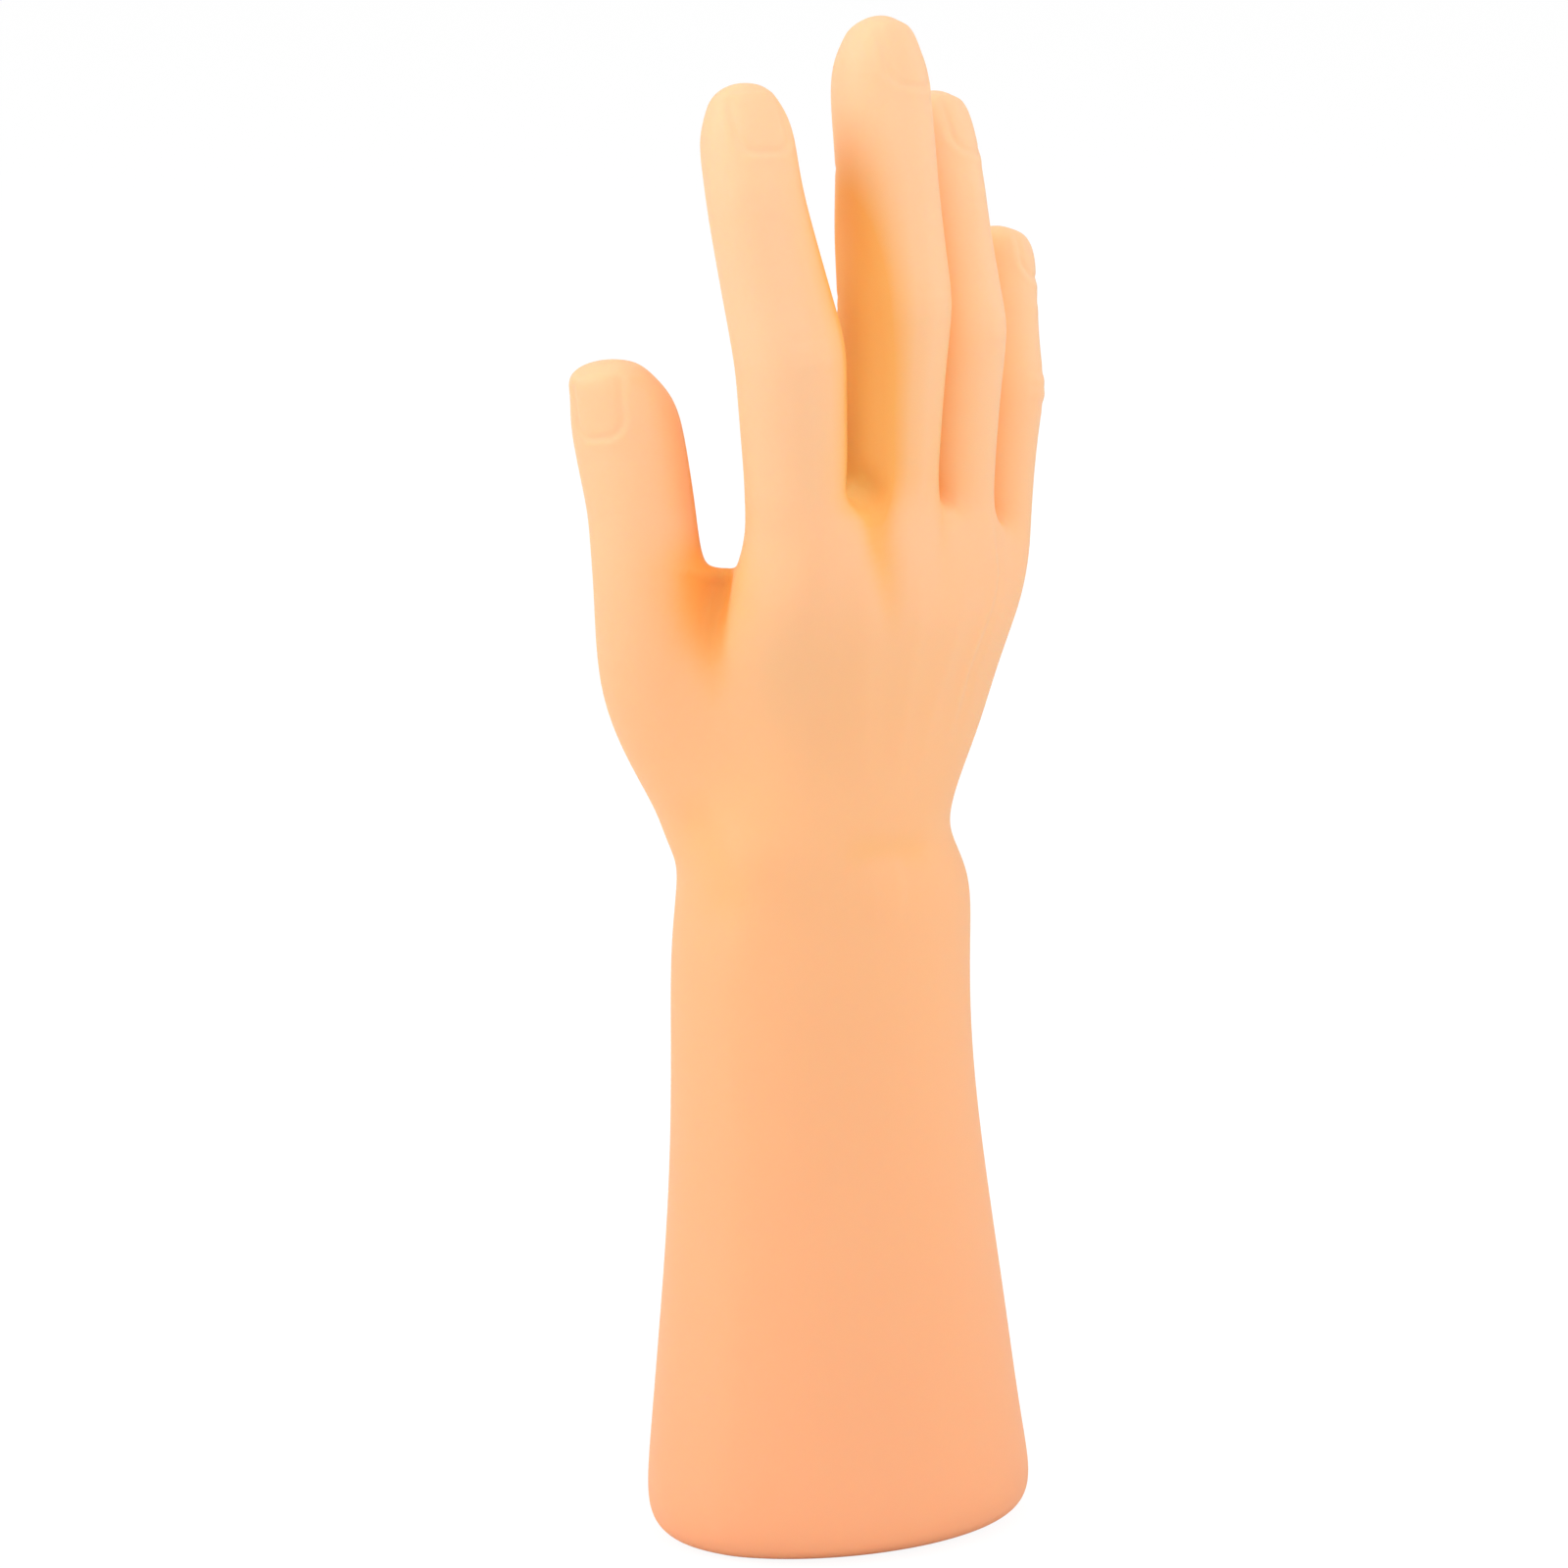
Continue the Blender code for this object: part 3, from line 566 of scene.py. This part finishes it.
for start, full, shade in PAINTED_SHADE_COLOURS:
    share = add_node(
        tree, "ShaderNodeMapRange", inputs={"Value": painted_shade_amount, "From Min": start, "From Max": full}
    ).outputs["Result"]
    colour = add_node(
        tree, "ShaderNodeMix", {"data_type": "RGBA"}, {"Factor": share, 6: colour, 7: linear(shade)}
    ).outputs[2]
# Painted shade: the deepest orange in the fork of the thumb
colour = add_node(
    tree,
    "ShaderNodeMix",
    {"data_type": "RGBA"},
    {"Factor": fork_painted_shade, 6: colour, 7: linear(PAINTED_SHADE_IN_FORK)},
).outputs[2]
# The soft waves that cooling leaves, and the mould's fine grain on them
waves = add_node(
    tree, "ShaderNodeTexNoise", inputs={"Vector": place, "Scale": 1 / WAVE_SIZE, "Detail": 1.0}
).outputs["Fac"]
grain = add_node(
    tree, "ShaderNodeTexNoise", inputs={"Vector": place, "Scale": 1 / GRAIN_SIZE, "Detail": 2.0}
).outputs["Fac"]
wavy = add_node(
    tree, "ShaderNodeBump", inputs={"Height": waves, "Strength": 0.3, "Distance": WAVE_HEIGHT}
).outputs["Normal"]
fine = add_node(
    tree,
    "ShaderNodeBump",
    inputs={"Height": grain, "Strength": 0.25, "Distance": GRAIN_HEIGHT, "Normal": wavy},
).outputs["Normal"]
dullness = add_node(
    tree,
    "ShaderNodeMapRange",
    inputs={"Value": patches, "From Min": 0.3, "From Max": 0.7, "To Min": 0.5, "To Max": 0.6},
).outputs["Result"]
tree.links.new(colour, shader.inputs["Base Color"])
tree.links.new(dullness, shader.inputs["Roughness"])
tree.links.new(fine, shader.inputs["Normal"])
shader.inputs["IOR"].default_value = 1.5
shader.inputs["Metallic"].default_value = 0.0
shader.inputs["Specular IOR Level"].default_value = 0.35
shader.inputs["Subsurface Weight"].default_value = 0.35
shader.inputs["Subsurface Radius"].default_value = (1.0, 0.45, 0.2)
shader.inputs["Subsurface Scale"].default_value = 4 * MM
hand.data.materials.append(vinyl)

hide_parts("hand_skin")
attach(hand, "root")


# Base plug
# A firmer PVC moulding pushed into the mouth of the foot, where a bead holds it behind the lip.
# It closes the hollow and lies level with the foot, so the hand stands on both.

PLUG_COLOUR = "#E0A87E"
PLUG_CLOUDED = "#D29A70"
CLOUD_SIZE = 6 * MM
CLOUD_HEIGHT = 0.05 * MM

plug_pvc = bpy.data.materials.new("moulded PVC plug")
plug_pvc.use_nodes = True
tree = plug_pvc.node_tree
shader = tree.nodes["Principled BSDF"]
place = add_node(tree, "ShaderNodeTexCoord").outputs["Object"]
# The cloudy, slightly rough face of a compression moulding
clouds = add_node(
    tree, "ShaderNodeTexNoise", inputs={"Vector": place, "Scale": 1 / CLOUD_SIZE, "Detail": 4.0}
).outputs["Fac"]
dullness = add_node(
    tree,
    "ShaderNodeMapRange",
    inputs={"Value": clouds, "From Min": 0.3, "From Max": 0.7, "To Min": 0.55, "To Max": 0.7},
).outputs["Result"]
rough = add_node(
    tree, "ShaderNodeBump", inputs={"Height": clouds, "Strength": 0.3, "Distance": CLOUD_HEIGHT}
).outputs["Normal"]
colour = add_node(
    tree,
    "ShaderNodeMix",
    {"data_type": "RGBA"},
    {"Factor": clouds, 6: linear(PLUG_COLOUR), 7: linear(PLUG_CLOUDED)},
).outputs[2]
tree.links.new(colour, shader.inputs["Base Color"])
tree.links.new(dullness, shader.inputs["Roughness"])
tree.links.new(rough, shader.inputs["Normal"])
shader.inputs["IOR"].default_value = 1.5
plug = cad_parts["base_plug"]
plug.data.materials.clear()
plug.data.materials.append(plug_pvc)


# Table
# A white sheet of paper under the hand. The camera sees it darker than it is, with an even glow
# added, so that it goes to white all round and keeps a soft shadow at the foot.

SHEET_REACH = 12.0
SHEET_DROP = 0.1 * MM
SHEET_COLOUR = (0.8, 0.8, 0.8, 1)
SHEET_SEEN = (0.12, 0.12, 0.12, 1)
GLOW_SEEN = 0.92

bpy.ops.object.select_all(action="DESELECT")
bpy.ops.mesh.primitive_plane_add(size=2 * SHEET_REACH, location=(0, 0, -SHEET_DROP))
table = bpy.context.object
table.name = "white_table"
paper = bpy.data.materials.new("white paper sheet")
paper.use_nodes = True
tree = paper.node_tree
shader = tree.nodes["Principled BSDF"]
shader.inputs["Roughness"].default_value = 0.9
shader.inputs["Specular IOR Level"].default_value = 0.0
shader.inputs["Emission Color"].default_value = (1, 1, 1, 1)
seen = add_node(tree, "ShaderNodeLightPath").outputs["Is Camera Ray"]
cover = add_node(
    tree, "ShaderNodeMix", {"data_type": "RGBA"}, {"Factor": seen, 6: SHEET_COLOUR, 7: SHEET_SEEN}
).outputs[2]
glow = add_node(
    tree, "ShaderNodeMath", {"operation": "MULTIPLY"}, {0: seen, 1: GLOW_SEEN}
).outputs["Value"]
tree.links.new(cover, shader.inputs["Base Color"])
tree.links.new(glow, shader.inputs["Emission Strength"])
table.data.materials.append(paper)


# Light and camera
# A white room, with a wide lamp high on the left and softer ones above, in front and on the right.
# The camera looks at the back of the hand from the thumb's side, a little from above.

# Each lamp's place in metres, its power in watts and its width in metres
LAMPS = {
    "lamp_left": ((-1.3, 0.75, 0.9), 14.0, 1.2),
    "lamp_above": ((0.0, -0.1, 1.7), 8.0, 1.4),
    "lamp_front": ((-0.2, -1.48, 0.8), 7.0, 1.0),
    "lamp_right": ((1.45, -0.5, 0.7), 3.5, 1.0),
}
LAMP_TARGET = Vector((0, 0, 0.12))

for name, (place, power, width) in LAMPS.items():
    lamp = bpy.data.lights.new(name, "AREA")
    lamp.energy = power
    lamp.size = width
    item = bpy.data.objects.new(name, lamp)
    item.location = place
    item.rotation_euler = (Vector(place) - LAMP_TARGET).to_track_quat("Z", "Y").to_euler()
    bpy.context.scene.collection.objects.link(item)

ROOM_LIGHT = 0.6
ROOM_SEEN = 1.0

room = bpy.data.worlds.new("white room")
room.use_nodes = True
tree = room.node_tree
tree.nodes.clear()
path = add_node(tree, "ShaderNodeLightPath")
seen = add_node(
    tree,
    "ShaderNodeMath",
    {"operation": "MAXIMUM"},
    {0: path.outputs["Is Camera Ray"], 1: path.outputs["Is Transmission Ray"]},
).outputs["Value"]
strength = add_node(
    tree, "ShaderNodeMapRange", inputs={"Value": seen, "To Min": ROOM_LIGHT, "To Max": ROOM_SEEN}
).outputs["Result"]
walls = add_node(
    tree, "ShaderNodeBackground", inputs={"Color": (1, 1, 1, 1), "Strength": strength}
).outputs["Background"]
add_node(tree, "ShaderNodeOutputWorld", inputs={"Surface": walls})
bpy.context.scene.world = room

CAMERA_TURN = math.radians(-40)
CAMERA_RISE = math.radians(10)
CAMERA_DISTANCE = 1.3
CAMERA_TARGET = Vector((-6.66, 5.59, 123.0)) * MM
CAMERA_SENSOR = 36
CAMERA_LENS = 184.275
CAMERA_END = 100

toward_camera = Vector(
    (
        math.sin(CAMERA_TURN) * math.cos(CAMERA_RISE),
        -math.cos(CAMERA_TURN) * math.cos(CAMERA_RISE),
        math.sin(CAMERA_RISE),
    )
)
camera = bpy.data.objects.new("camera", bpy.data.cameras.new("camera"))
camera.data.sensor_width = CAMERA_SENSOR
camera.data.lens = CAMERA_LENS
camera.data.clip_end = CAMERA_END
camera.location = CAMERA_TARGET + toward_camera * CAMERA_DISTANCE
camera.rotation_euler = toward_camera.to_track_quat("Z", "Y").to_euler()
bpy.context.scene.collection.objects.link(camera)
bpy.context.scene.camera = camera
bpy.context.scene.view_settings.view_transform = "Standard"
